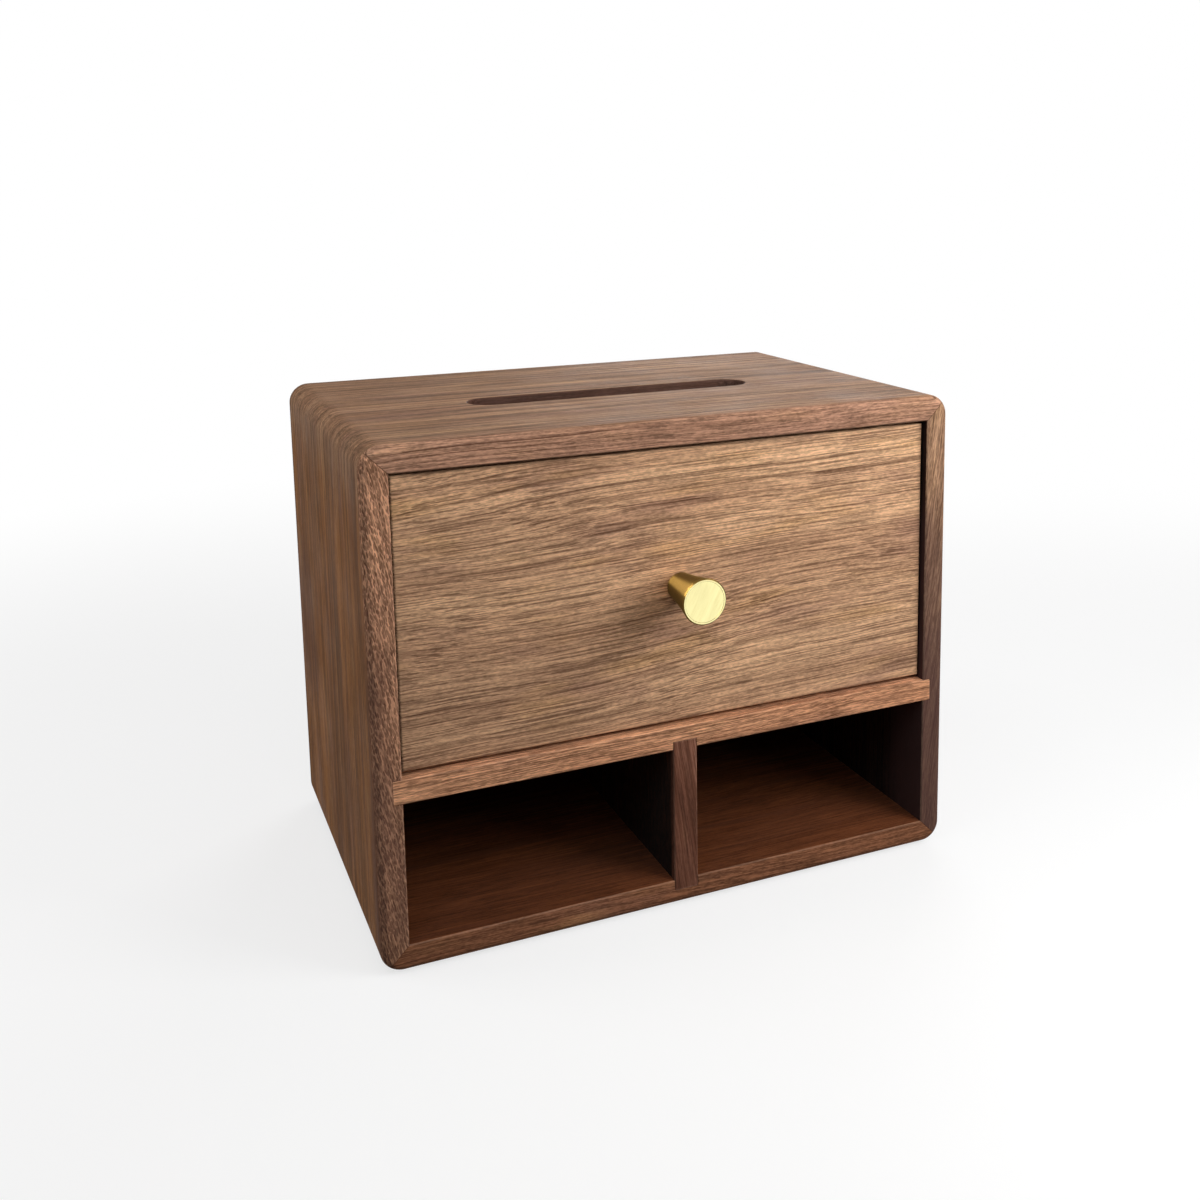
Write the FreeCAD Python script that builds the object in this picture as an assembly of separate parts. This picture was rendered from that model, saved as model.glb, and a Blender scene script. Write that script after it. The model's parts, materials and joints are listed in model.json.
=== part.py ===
"""Walnut tissue box with a drawer, in millimetres, +Z up, front towards -Y.

Four mitred boards make the case. A shelf housed in the sides carries the drawer, which holds
the tissues under the slot in the top, and a divider below the shelf makes two open cubbies.
The origin is on the table, under the middle of the box and its knob.
"""
import FreeCAD, Part
import os

# ---------------------------------------------------------------- case: driving dimensions
case_width = 260.0            # outside, along X
case_depth = 174.0            # front edges to back edges, along Y
case_height = 210.5           # underside to top, without the foot pads
board_thickness = 11.0        # top, bottom and both sides
corner_radius = 9.0           # the four long corners, along Y
edge_round = 3.5              # front and back outer edges
arris = 0.5                   # the light chamfer on every inner front edge

slot_length = 134.0           # tissue slot in the top, along X
slot_width = 20.0
slot_from_front = 78.5        # slot's centre line, behind the front edges
slot_round = 0.8              # softened rim of the slot

shelf_height = 79.5           # top of the shelf, above the underside of the case
shelf_thickness = 10.0
shelf_housing = 3.6           # depth of the shelf's ends in the sides
divider_thickness = 11.0
divider_housing_top = 3.8     # depth of the divider in the shelf
divider_housing_bottom = 4.5  # depth of the divider in the bottom board

panel_thickness = 5.0         # back panel
panel_inset = 5.0             # back edges to the panel's rear face
panel_groove = 4.0            # depth of the groove that holds the panel
panel_room = 0.3              # room at each edge of a panel in its groove

spline_thickness = 3.0        # hidden splines across the mitres
spline_width = 8.0
spline_from_inner = 4.6       # inner corner to the spline's middle, along the mitre
spline_stop = 14.0            # solid wood left at each end of a spline
spline_room = 0.25            # glue room at each edge of a spline

pad_radius = 6.0              # foot pads
pad_thickness = 1.5
pad_from_edge = 17.0          # pad's centre from the outside of the case, along X and Y

# -------------------------------------------------------------- drawer: driving dimensions
drawer_recess = 3.2           # drawer's face behind the front edges
drawer_top_gap = 1.5
drawer_side_gap = 0.7
drawer_lift = 1.6             # shelf to the bottom edge of the drawer front
drawer_front_thickness = 11.0
drawer_front_round = 1.0      # softened edges of the drawer's face
drawer_wall_thickness = 8.0   # drawer sides and back
drawer_wall_height = 100.0
drawer_bottom_thickness = 4.0
drawer_bottom_rise = 5.0      # shelf to the underside of the drawer's bottom
drawer_groove = 4.0           # depth of the groove that holds the drawer's bottom

tail_count = 4                # dovetails at each corner of the drawer
tail_gap = 7.0                # between two tails, at their wide ends
tail_slope = 1.0 / 7.0
tail_lap = 3.0                # wood left in the drawer front ahead of the tails

# ---------------------------------------------------------------- knob: driving dimensions
knob_length = 24.2
knob_base_radius = 5.9
knob_face_radius = 9.7
knob_rim_chamfer = 0.5
screw_radius = 2.0            # M4 machine screw from inside the drawer
screw_length = 20.0           # under the head
screw_head_radius = 4.0
screw_head_height = 2.6
screw_recess_radius = 2.2     # cross recess in the head
screw_recess_width = 0.9
screw_recess_depth = 1.5
screw_hole_clearance = 0.25   # radial, in the drawer front and the washer
thread_clearance = 0.05       # radial, in the knob
knob_bore_spare = 1.5         # bore beyond the end of the screw
washer_radius = 4.6
washer_thickness = 0.8

# --------------------------------------------------------------- places worked out from them
cut_margin = 1.0              # how far a cutting tool runs past what it cuts
knob_reach = knob_length - drawer_recess
front_y = knob_reach / 2 - case_depth / 2
back_y = front_y + case_depth
half_width = case_width / 2
inner_half_width = half_width - board_thickness
case_bottom_z = pad_thickness
case_top_z = case_bottom_z + case_height
floor_z = case_bottom_z + board_thickness
ceiling_z = case_top_z - board_thickness
shelf_top_z = case_bottom_z + shelf_height
shelf_bottom_z = shelf_top_z - shelf_thickness
panel_rear_y = back_y - panel_inset
panel_front_y = panel_rear_y - panel_thickness
slot_y = front_y + slot_from_front

drawer_face_y = front_y + drawer_recess
drawer_front_rear_y = drawer_face_y + drawer_front_thickness
drawer_back_front_y = panel_front_y - drawer_wall_thickness
drawer_half_width = inner_half_width - drawer_side_gap
drawer_inner_half_width = drawer_half_width - drawer_wall_thickness
drawer_front_bottom_z = shelf_top_z + drawer_lift
drawer_front_top_z = ceiling_z - drawer_top_gap
drawer_wall_top_z = shelf_top_z + drawer_wall_height
drawer_bottom_z = shelf_top_z + drawer_bottom_rise
knob_z = (drawer_front_bottom_z + drawer_front_top_z) / 2


def point(x, y, z):
    return FreeCAD.Vector(x, y, z)


def box(x_range, y_range, z_range):
    """A box from three (low, high) pairs."""
    low = point(x_range[0], y_range[0], z_range[0])
    sizes = [pair[1] - pair[0] for pair in (x_range, y_range, z_range)]
    return Part.makeBox(sizes[0], sizes[1], sizes[2], low)


def grown(pair, margin):
    """A (low, high) pair, made longer at both ends."""
    return (pair[0] - margin, pair[1] + margin)


def prism(points, direction):
    """A closed outline of points, extruded along a vector."""
    outline = Part.makePolygon(points + points[:1])
    return Part.Face(outline).extrude(direction)


def cylinder_y(radius, y_range, x, z):
    """A round bar along Y."""
    start = point(x, y_range[0], z)
    return Part.makeCylinder(radius, y_range[1] - y_range[0], start, point(0, 1, 0))


def spun(outline, x, z):
    """A solid of revolution about the line along Y through (x, z); outline holds (radius, y)."""
    points = [point(x + radius, y, z) for radius, y in outline]
    face = Part.Face(Part.makePolygon(points + points[:1]))
    return face.revolve(point(x, 0, z), point(0, 1, 0), 360)


def edges_where(shape, test):
    """The edges whose box of corners passes a test."""
    return [edge for edge in shape.Edges if test(edge.BoundBox)]


def lies_at(value, target):
    return abs(value - target) < 1e-4


# ------------------------------------------------------------------------------------- case
def case_blank():
    """The whole case in one: rounded outside, square opening, before it is cut in four."""
    outside = box((-half_width, half_width), (front_y, back_y), (case_bottom_z, case_top_z))
    corners = edges_where(outside, lambda b: lies_at(b.YLength, case_depth))
    outside = outside.makeFillet(corner_radius, corners)
    rims = edges_where(outside, lambda b: b.YLength < 1e-4)
    outside = outside.makeFillet(edge_round, rims)
    opening = box(
        (-inner_half_width, inner_half_width),
        grown((front_y, back_y), cut_margin),
        (floor_z, ceiling_z),
    )
    blank = outside.cut(opening)

    def is_inner_rim(b):
        in_end_plane = lies_at(b.YMin, front_y) or lies_at(b.YMax, back_y)
        within = b.XMin > -inner_half_width - arris and b.XMax < inner_half_width + arris
        between = b.ZMin > floor_z - arris and b.ZMax < ceiling_z + arris
        return b.YLength < 1e-4 and in_end_plane and within and between

    return blank.makeChamfer(arris, edges_where(blank, is_inner_rim))


def case_corners():
    """Each corner of the case as (outer x, outer z, inner x, inner z), round from top left."""
    return {
        "top_left": (-half_width, case_top_z, -inner_half_width, ceiling_z),
        "top_right": (half_width, case_top_z, inner_half_width, ceiling_z),
        "bottom_right": (half_width, case_bottom_z, inner_half_width, floor_z),
        "bottom_left": (-half_width, case_bottom_z, -inner_half_width, floor_z),
    }


def mitre_wedge(first, second):
    """The room of one board, between the mitres at two corners of the case."""
    def on_mitre(corner, share):
        outer_x, outer_z, inner_x, inner_z = corner
        x = inner_x + share * (outer_x - inner_x)
        z = inner_z + share * (outer_z - inner_z)
        return point(x, front_y - cut_margin, z)

    inside, outside = -0.5, 1.5
    points = [on_mitre(first, inside), on_mitre(second, inside),
              on_mitre(second, outside), on_mitre(first, outside)]
    return prism(points, point(0, case_depth + 2 * cut_margin, 0))


def spline_bar(corner, width):
    """A bar across the mitre at one corner, of the given width."""
    outer_x, outer_z, inner_x, inner_z = corner
    along = point(outer_x - inner_x, 0, outer_z - inner_z).normalize()
    across = point(along.z, 0, -along.x)
    start_y = front_y + spline_stop
    length = panel_front_y - spline_stop - start_y
    middle = point(inner_x, start_y, inner_z) + along * spline_from_inner
    half_thick = along * (spline_thickness / 2)
    half_wide = across * (width / 2)
    points = [middle - half_thick - half_wide, middle + half_thick - half_wide,
              middle + half_thick + half_wide, middle - half_thick + half_wide]
    return prism(points, point(0, length, 0))


def back_panel(room=0.0):
    """The back panel in its grooves, or the grooves' own room."""
    reach = panel_groove - panel_room + room
    return box(
        grown((-inner_half_width, inner_half_width), reach),
        (panel_front_y, panel_rear_y),
        grown((floor_z, ceiling_z), reach),
    )


def shelf_blank():
    """The shelf, which is also the room of its housings in the sides."""
    return box(
        grown((-inner_half_width, inner_half_width), shelf_housing),
        (front_y, panel_front_y),
        (shelf_bottom_z, shelf_top_z),
    )


def divider_blank():
    """The divider, which is also the room of its housings in the shelf and the bottom."""
    return box(
        (-divider_thickness / 2, divider_thickness / 2),
        (front_y, panel_front_y),
        (floor_z - divider_housing_bottom, shelf_bottom_z + divider_housing_top),
    )


def with_front_arris(shape, is_long):
    """A board whose long front edges are chamfered."""
    def test(b):
        return lies_at(b.YMin, front_y) and b.YLength < 1e-4 and is_long(b)

    return shape.makeChamfer(arris, edges_where(shape, test))


def slot_tool():
    """The round-ended slot, long enough to cut the top board through."""
    radius = slot_width / 2
    reach = slot_length / 2 - radius
    z_range = grown((ceiling_z, case_top_z), cut_margin)
    tool = box((-reach, reach), (slot_y - radius, slot_y + radius), z_range)
    for x in (-reach, reach):
        start = point(x, slot_y, z_range[0])
        end = Part.makeCylinder(radius, z_range[1] - z_range[0], start)
        tool = tool.fuse(end)
    return tool.removeSplitter()


def with_slot(board):
    """The top board with its tissue slot, softened at both faces."""
    board = board.cut(slot_tool())

    def is_slot_rim(b):
        flat = b.ZLength < 1e-4 and (lies_at(b.ZMin, case_top_z) or lies_at(b.ZMin, ceiling_z))
        inside_x = b.XMax < slot_length / 2 + cut_margin and b.XMin > -slot_length / 2 - cut_margin
        inside_y = abs(b.Center.y - slot_y) < slot_width / 2 + cut_margin
        return flat and inside_x and inside_y

    return board.makeFillet(slot_round, edges_where(board, is_slot_rim))


def case_nodes():
    """The four boards, with every housing, groove and slot cut in them, and their splines."""
    blank = case_blank()
    corners = case_corners()
    ends = {
        "case_top": ("top_left", "top_right"),
        "case_right_side": ("top_right", "bottom_right"),
        "case_bottom": ("bottom_right", "bottom_left"),
        "case_left_side": ("bottom_left", "top_left"),
    }
    nodes = {}
    for name, (first, second) in ends.items():
        board = blank.common(mitre_wedge(corners[first], corners[second]))
        board = board.cut(back_panel(panel_room)).cut(shelf_blank()).cut(divider_blank())
        for corner in (first, second):
            board = board.cut(spline_bar(corners[corner], spline_width + 2 * spline_room))
        nodes[name] = board
    nodes["case_top"] = with_slot(nodes["case_top"])
    for corner, place in corners.items():
        nodes["mitre_spline_" + corner] = spline_bar(place, spline_width)
    return nodes


def inner_nodes():
    """The shelf, the divider and the back panel."""
    shelf = with_front_arris(shelf_blank(), lambda b: b.XLength > inner_half_width)
    divider = with_front_arris(divider_blank(), lambda b: b.ZLength > divider_thickness)
    return {"shelf": shelf.cut(divider_blank()), "divider": divider, "back_panel": back_panel()}


def pad_nodes():
    """Four round pads under the corners."""
    reach_x = half_width - pad_from_edge
    nodes = {}
    for side, x in (("left", -reach_x), ("right", reach_x)):
        for end, y in (("front", front_y + pad_from_edge), ("back", back_y - pad_from_edge)):
            pad = Part.makeCylinder(pad_radius, pad_thickness, point(x, y, 0))
            nodes["foot_pad_" + end + "_" + side] = pad
    return nodes


# ----------------------------------------------------------------------------------- drawer
def tails(side, root_y, tip_y):
    """The dovetails on one end of a drawer side, from their roots to their tips."""
    low_z = drawer_front_bottom_z
    pitch = (drawer_wall_top_z - low_z) / tail_count
    wide = pitch / 2 - tail_gap / 2
    narrow = wide - abs(tip_y - root_y) * tail_slope
    outer_x = side * drawer_half_width
    inner_x = side * drawer_inner_half_width
    shapes = []
    for number in range(tail_count):
        z = low_z + (number + 0.5) * pitch
        points = [point(inner_x, root_y, z - narrow), point(inner_x, tip_y, z - wide),
                  point(inner_x, tip_y, z + wide), point(inner_x, root_y, z + narrow)]
        shapes.append(prism(points, point(outer_x - inner_x, 0, 0)))
    return shapes


def all_tails(side):
    """Half-blind tails at the drawer front and through tails at the drawer back."""
    front = tails(side, drawer_front_rear_y, drawer_face_y + tail_lap)
    return front + tails(side, drawer_back_front_y, panel_front_y)


def drawer_bottom(room=0.0):
    """The drawer's bottom in its grooves, or the grooves' own room."""
    reach = drawer_groove - panel_room + room
    return box(
        grown((-drawer_inner_half_width, drawer_inner_half_width), reach),
        grown((drawer_front_rear_y, drawer_back_front_y), reach),
        (drawer_bottom_z, drawer_bottom_z + drawer_bottom_thickness),
    )


def drawer_side(side):
    """One drawer side with its tails, grooved for the bottom."""
    x_range = sorted((side * drawer_half_width, side * drawer_inner_half_width))
    wall = box(x_range, (drawer_front_rear_y, drawer_back_front_y),
               (shelf_top_z, drawer_wall_top_z))
    for tail in all_tails(side):
        wall = wall.fuse(tail)
    return wall.removeSplitter().cut(drawer_bottom(panel_room))


def cut_for_tails(shape):
    for side in (-1, 1):
        for tail in all_tails(side):
            shape = shape.cut(tail)
    return shape


def drawer_front():
    """The drawer front: softened face, sockets, groove and the hole for the knob's screw."""
    front = box((-drawer_half_width, drawer_half_width), (drawer_face_y, drawer_front_rear_y),
                (drawer_front_bottom_z, drawer_front_top_z))
    face_edges = edges_where(front, lambda b: b.YLength < 1e-4 and lies_at(b.YMin, drawer_face_y))
    front = front.makeFillet(drawer_front_round, face_edges)
    front = cut_for_tails(front).cut(drawer_bottom(panel_room))
    hole_range = grown((drawer_face_y, drawer_front_rear_y), cut_margin)
    return front.cut(cylinder_y(screw_radius + screw_hole_clearance, hole_range, 0, knob_z))


def drawer_back():
    """The drawer back, with pins between the tails of the sides."""
    back = box((-drawer_half_width, drawer_half_width), (drawer_back_front_y, panel_front_y),
               (shelf_top_z, drawer_wall_top_z))
    return cut_for_tails(back).cut(drawer_bottom(panel_room))


def drawer_nodes():
    return {
        "drawer_front": drawer_front(),
        "drawer_left_side": drawer_side(-1),
        "drawer_right_side": drawer_side(1),
        "drawer_back": drawer_back(),
        "drawer_bottom": drawer_bottom(),
    }


# ------------------------------------------------------------------------------------- knob
def knob():
    """A cone that widens to a flat face, bored from behind for its screw."""
    face_y = drawer_face_y - knob_length
    cone = spun([(0, drawer_face_y), (knob_base_radius, drawer_face_y),
                 (knob_face_radius, face_y), (0, face_y)], 0, knob_z)
    rim = edges_where(cone, lambda b: b.YLength < 1e-4 and lies_at(b.YMin, face_y))
    cone = cone.makeChamfer(knob_rim_chamfer, rim)
    screw_end_y = screw_head_y() - screw_length
    bore_radius = screw_radius + thread_clearance
    bore_end_y = screw_end_y - knob_bore_spare
    bore = spun([(0, drawer_face_y + cut_margin), (bore_radius, drawer_face_y + cut_margin),
                 (bore_radius, bore_end_y), (0, bore_end_y - bore_radius / 2)], 0, knob_z)
    return cone.cut(bore)


def screw_head_y():
    """Where the underside of the screw's head bears on its washer."""
    return drawer_front_rear_y + washer_thickness


def knob_screw():
    """A pan-head screw with a cross recess."""
    head_y = screw_head_y()
    top_y = head_y + screw_head_height
    shank = cylinder_y(screw_radius, (head_y - screw_length, head_y), 0, knob_z)
    head = cylinder_y(screw_head_radius, (head_y, top_y), 0, knob_z)
    crown = edges_where(head, lambda b: b.YLength < 1e-4 and lies_at(b.YMin, top_y))
    head = head.makeChamfer(screw_head_height / 3, crown)
    screw = shank.fuse(head)
    reach, half = screw_recess_radius, screw_recess_width / 2
    depth = (top_y - screw_recess_depth, top_y + cut_margin)
    for across, up in ((reach, half), (half, reach)):
        screw = screw.cut(box((-across, across), depth, (knob_z - up, knob_z + up)))
    return screw


def knob_washer():
    y_range = (drawer_front_rear_y, screw_head_y())
    disc = cylinder_y(washer_radius, y_range, 0, knob_z)
    hole = cylinder_y(screw_radius + screw_hole_clearance, grown(y_range, cut_margin), 0, knob_z)
    return disc.cut(hole)


def knob_nodes():
    return {"knob": knob(), "knob_screw": knob_screw(), "knob_washer": knob_washer()}


# ----------------------------------------------------------------------------------- export
def single_solid(shape):
    """A boolean may wrap its one solid in a compound."""
    return shape.Solids[0] if len(shape.Solids) == 1 else shape


def main():
    os.makedirs("parts", exist_ok=True)
    nodes = {}
    for group in (case_nodes, inner_nodes, pad_nodes, drawer_nodes, knob_nodes):
        nodes.update(group())
    for name, shape in nodes.items():
        solid = single_solid(shape)
        solid.exportStep("parts/" + name + ".step")
        centre = solid.BoundBox.Center
        print(name, len(solid.Solids), solid.isValid(), round(solid.Volume / 1000, 2), "cm3",
              [round(value, 1) for value in (centre.x, centre.y, centre.z)])


main()
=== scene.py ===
import json
import math

import bmesh
import bpy
from bpy.props import FloatProperty, FloatVectorProperty, IntProperty, PointerProperty
from mathutils import Matrix, Vector


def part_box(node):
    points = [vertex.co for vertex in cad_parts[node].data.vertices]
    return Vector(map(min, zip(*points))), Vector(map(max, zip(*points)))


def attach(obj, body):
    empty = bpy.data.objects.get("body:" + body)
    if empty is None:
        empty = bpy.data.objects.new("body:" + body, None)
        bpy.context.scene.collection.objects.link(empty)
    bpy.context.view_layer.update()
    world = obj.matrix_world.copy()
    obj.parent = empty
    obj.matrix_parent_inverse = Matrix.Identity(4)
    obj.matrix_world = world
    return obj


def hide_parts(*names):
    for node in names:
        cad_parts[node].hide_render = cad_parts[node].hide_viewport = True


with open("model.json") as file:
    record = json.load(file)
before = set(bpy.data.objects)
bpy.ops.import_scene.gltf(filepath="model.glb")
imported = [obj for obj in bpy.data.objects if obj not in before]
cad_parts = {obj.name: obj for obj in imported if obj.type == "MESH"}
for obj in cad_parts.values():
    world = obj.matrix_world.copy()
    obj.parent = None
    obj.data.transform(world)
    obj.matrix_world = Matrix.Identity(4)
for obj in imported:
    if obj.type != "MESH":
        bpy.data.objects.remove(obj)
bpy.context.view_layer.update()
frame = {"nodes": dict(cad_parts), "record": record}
NODES = frame["nodes"]

bl_info = {
    "name": "Walnut Tissue Box",
    "version": (1, 0, 0),
    "blender": (4, 5, 0),
    "location": "View3D > Sidebar > Tissue Box",
    "description": "Finishes the boards, drawer, knob, fasteners and pads of a walnut tissue box",
    "category": "Object",
}

MILLIMETRE = 0.001

# ------------------------------------------------------------- the places that the frame gives
CASE_LOW = Vector(map(min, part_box("case_bottom")[0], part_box("case_left_side")[0]))
CASE_HIGH = Vector(map(max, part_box("case_top")[1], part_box("case_right_side")[1]))
CASE_CENTRE = (CASE_LOW + CASE_HIGH) / 2
CASE_HALF = (CASE_HIGH - CASE_LOW) / 2
BOARD_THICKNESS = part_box("case_left_side")[1].x - CASE_LOW.x
KNOB_LOW, KNOB_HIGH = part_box("knob")
SCREW_LOW, SCREW_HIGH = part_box("knob_screw")
WASHER_LOW, WASHER_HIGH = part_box("knob_washer")
OPENINGS = {opening["name"]: opening["box_m"] for opening in frame["record"]["physics"]["openings"]}
SLOT_LOW, SLOT_HIGH = map(Vector, OPENINGS["tissue_slot"])
PAD_NODES = ("foot_pad_front_left", "foot_pad_front_right", "foot_pad_back_left", "foot_pad_back_right")
CORNERS = ("top_left", "top_right", "bottom_right", "bottom_left")

# ------------------------------------------------------------------------- how the walnut is drawn
# The noise of each part of the grain. per_metre is its features along the grain and across it both ways.
GRAIN = {
    "sway": dict(per_metre=(5, 15, 15), detail=1.0),
    "ripple": dict(per_metre=(38, 95, 95), detail=1.0, shift=(3, 1, 7)),
    "bands": dict(per_metre=(3.5, 50, 50), detail=4.0, roughness=0.70),
    "mauve": dict(per_metre=(16, 70, 70), shift=(11, 5, 2)),
    "gold": dict(per_metre=(18, 85, 85), shift=(2, 17, 9)),
    "breaks": dict(per_metre=(9, 60, 60), shift=(8, 3, 5)),
    "streaks": dict(per_metre=(8, 800, 800), detail=3.0, roughness=0.75, shift=(5, 9, 4)),
    "stripes": dict(per_metre=(2.5, 180, 180), roughness=0.6, shift=(6, 6, 2)),
    "veins": dict(per_metre=(5, 420, 420), roughness=0.6, shift=(9, 4, 6)),
    "flecks": dict(per_metre=(10, 1500, 1500), roughness=0.65, shift=(4, 2, 8)),
    "fibre": dict(per_metre=(45, 1400, 1400), detail=3.0, roughness=0.7, shift=(7, 7, 1)),
    "grit": dict(per_metre=(420, 1300, 1300), detail=1.0, roughness=0.6, shift=(1, 6, 6)),
}
# The values of its noise between which each part comes in. What is dark comes in below them.
SPANS = {
    "bands": (0.34, 0.66), "mauve": (0.50, 0.74), "gold": (0.52, 0.76), "breaks": (0.40, 0.66),
    "streaks": (0.36, 0.64), "stripes": (0.36, 0.64), "fibre": (0.43, 0.57), "grit": (0.38, 0.62),
    "dark_veins": (0.35, 0.46), "pale_veins": (0.54, 0.65),
    "dark_flecks": (0.41, 0.47), "pale_flecks": (0.52, 0.59),
}
# How far the grain sways and ripples to both sides, in metres.
SWAY_WIDTH, RIPPLE_WIDTH = 0.014, 0.0016
# Where the dark late wood of a growth ring sets in and where it stops, as shares of the ring's width.
LATE_WOOD_START, LATE_WOOD_END = (0.75, 0.95), (0.97, 1.0)
# How much each part lightens the wood, and how far each darkens it towards the colour of the lines.
LIGHTENING = {"streaks": 0.22, "stripes": 0.14, "pale_flecks": 0.08, "pale_veins": 0.16, "fibre": 0.26,
              "grit": 0.10}
DARKENING = {"dark_flecks": 0.5, "dark_veins": 0.34, "late_wood": 0.6, "pores": 0.7}
# How deep the dark flecks are cut and how far the streaks stand out, as shares of a pore's depth.
FLECK_DEPTH, STREAK_HEIGHT = 0.45, 0.1
# Pores on the boards' faces, and on the front edges that cut the grain at a slant, in metres. Cover is
# how much of its cell a pore fills.
FACE_PORES = {"Length": 0.0050, "Width": 0.00040, "Cover": 0.48}
EDGE_PORES = {"Length": 0.0024, "Width": 0.00065, "Cover": 0.64}

# How strong each part of the figure is on a kind of board. Growth is the width of a growth ring.
FIGURES = {
    "calm": dict(Bands=0.75, Patches=0.2, Lines=0.2, Stripes=1.9, Veins=1.2, Streaks=1.2, Flecks=0.4,
                 Fibre=0.6, Grit=0.8, Pores=0.4, Ripple=0.2),
    "streaked": dict(Bands=1.0, Patches=0.2, Lines=1.0, Stripes=0.5, Veins=0.9, Streaks=0.8, Flecks=0.8,
                     Fibre=0.8, Grit=0.8, Pores=0.5, Ripple=0.3),
    "lively": dict(Growth=0.0055, Bands=0.5, Patches=0.5, Lines=0.9, Stripes=0.0, Veins=0.65,
                   Streaks=0.0, Flecks=1.1, Fibre=0.75, Grit=1.4, Pores=0.3, Ripple=0.5),
    "veined": dict(Growth=0.0026, Bands=0.2, Patches=0.2, Lines=1.5, Veins=0.9, Streaks=0.4, Flecks=0.3,
                   Fibre=1.1, Grit=1.6, Pores=0.3, Ripple=0.15),
    "flecked": dict(Bands=0.7, Patches=0.25, Lines=0.3, Veins=0.4, Streaks=0.7, Flecks=1.0, Fibre=1.1,
                    Grit=1.0, Pores=0.8, Ripple=0.4),
    "porous": dict(Bands=0.4, Patches=0.2, Lines=0.0, Veins=0.1, Streaks=0.3, Flecks=0.3, Fibre=1.1,
                   Grit=1.0, Pores=0.0, Ripple=0.3),
    "plain": dict(Growth=0.022, Bands=0.8, Patches=0.0, Lines=1.0, Veins=0.5, Streaks=0.8, Flecks=0.5,
                  Fibre=0.8, Grit=0.8, Pores=0.4, Ripple=0.3),
}

# Where a board's other woods, its painted shade inside and its painted edge highlight begin, in metres. A
# pair is where the change starts and where it ends.
EDGE_DEPTH, EDGE_BLUR, EDGE_RAGGEDNESS = 0.0041, 0.0011, 0.003
SHELF_EDGE_DEPTH = 0.013
CROWN_DEPTHS, CROWN_RAGGEDNESS = (0.032, 0.008), 0.05
INNER_FACE, INNER_START = (0.0009, 0.0002), (0.0004, 0.0008)
PANEL_FACE = (0.0005, 0.001)
SLOT_WALL = (0.0007, 0.0012)
GLUE_LINE = (0.0001, 0.00035)
EASED_REACH, MITRED_EASED_REACH = 0.0007, 0.0008
# Features per metre of the front edge's and the crown's uneven lines, along the grain and across it.
EDGE_PER_METRE, CROWN_PER_METRE = (14, 260, 260), (9, 170, 170)
# How strongly the painted highlight on eased edges, glue lines and the edges' pores show, from 0 to 1.
EDGE_HIGHLIGHT_TINT, GLUE_TINT, EDGE_PORE_TINT = 0.07, 0.6, 0.8
# The walnut's roughness, and what smudges, open pores and worn edges add to it.
WOOD_ROUGHNESS = 0.56
SMUDGE_ROUGHNESS, PORE_ROUGHNESS, WORN_ROUGHNESS = 0.12, 0.2, -0.08
WOOD_GLOSS = 0.03
# How deep the bumps of each finish are, in metres, and how strongly those of wood and rubber show.
GRAIN_RELIEF, RUBBER_RELIEF = 0.00012, 0.00006
STEM_RELIEF, FACE_RELIEF = 0.00001, 0.000006
GRAIN_STRENGTH, RUBBER_STRENGTH = 0.5, 0.4

# Dark zones: where each is centred, how far it reaches, in metres, and how much it shows. Those on the sides
# are heartwood; those on the drawer front are painted shade.
LEFT_HEARTS = (((-0.13, -0.077, 0.0), (0.02, 0.012, 0.17), 0.45),
               ((-0.13, 0.07, 0.10), (0.02, 0.03, 0.05), 0.35))
RIGHT_HEARTS = (((0.13, -0.077, 0.0), (0.5, 0.035, 0.19), 0.85),)
# Painted shade: the drawer front is darkened at its left and lower right, where the key light falls off.
FRONT_PAINTED_SHADE = (((-0.12, -0.07, 0.06), (0.17, 0.05, 0.10), 0.20),
                ((-0.10, -0.07, 0.14), (0.10, 0.05, 0.06), 0.10),
                ((0.10, -0.07, 0.09), (0.09, 0.05, 0.07), 0.16))

# ------------------------------------------------------------------------------ steps of the shapes
# Steps round each turned piece, then along the knob's stem and in the rounded stretches of a profile.
FASTENER_STEPS, PAD_STEPS = 48, 64
STEM_STEPS = 14
CROWN_STEPS, EASE_STEPS, PAD_ROUND_STEPS = 8, 4, 6

# ------------------------------------------------------------------------------------- the studio
# The soft lamps: where they stand and how wide and high they are, in metres.
LAMPS = {
    "key": dict(place=(0.36, -0.42, 0.36), size=(0.30, 0.30)),
    "fill": dict(place=(0.0, -0.66, 0.72), size=(0.60, 0.60)),
    "top": dict(place=(-0.45, -0.10, 0.80), size=(0.60, 0.60)),
    "side": dict(place=(-0.90, 0.35, 0.45), size=(0.60, 0.60)),
    "rear": dict(place=(0.60, 0.85, 0.50), size=(0.70, 0.70)),
}
STRIP_LAMP = dict(place=(-0.33, -0.32, 0.42), size=(0.03, 0.40), aim=(0, -0.32, 0.14))
LAMP_AIM = (0, 0, 0.1)
FLOOR_SIZE = 6.0
SENSOR_WIDTH = 36


def srgb(red, green, blue):
    """A colour given in screen values from 0 to 255, as linear light."""
    def linear(value):
        level = value / 255
        return level / 12.92 if level <= 0.04045 else ((level + 0.055) / 1.055) ** 2.4
    return linear(red), linear(green), linear(blue)


def colour(label, meaning, value):
    return FloatVectorProperty(name=label, description=meaning, subtype="COLOR", size=3,
                               min=0, max=1, default=value)


def length(label, meaning, millimetres):
    return FloatProperty(name=label, description=meaning, subtype="DISTANCE", unit="LENGTH",
                         min=0, precision=5, default=millimetres * MILLIMETRE)


def share(label, meaning, value):
    return FloatProperty(name=label, description=meaning, subtype="FACTOR", min=0, max=1, default=value)


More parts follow.
